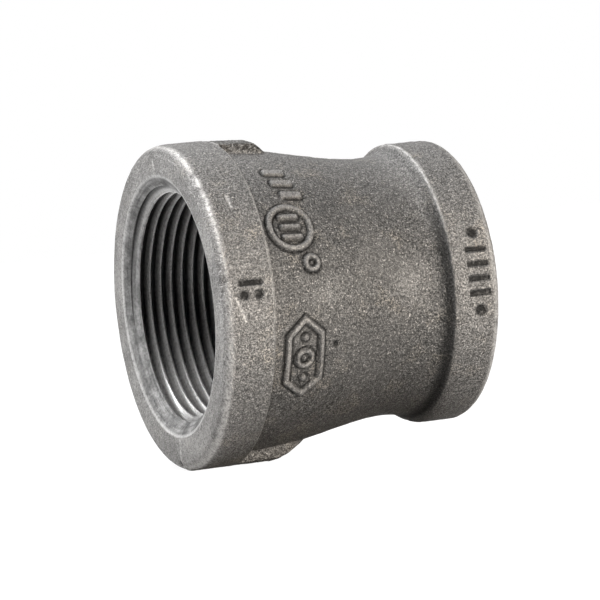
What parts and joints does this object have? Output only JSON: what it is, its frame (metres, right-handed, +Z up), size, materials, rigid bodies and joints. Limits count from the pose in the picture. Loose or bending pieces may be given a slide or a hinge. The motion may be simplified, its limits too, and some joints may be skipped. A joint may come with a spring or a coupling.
{
  "type": "threaded reducing coupling",
  "caption": "Cast-iron coupling with a banded, internally threaded socket at each end, one larger than the other, that joins a pipe to the next smaller pipe.",
  "frame": {"origin": "on the bore's axis, midway between the two end faces, which is the centre of the bounding box", "axes": "+X along the bore from the large end to the small end, +Z up, with the two lugs at +Z and -Z on the mould's parting plane"},
  "size_m": [0.0582, 0.063, 0.063],
  "materials": {
    "black_iron": "sand-cast with a dark oxide skin, bare grey metal on the threads and worn edges"
  },
  "bodies": {
    "root": {"coupling_casting": "black_iron"}
  },
  "joints": []
}
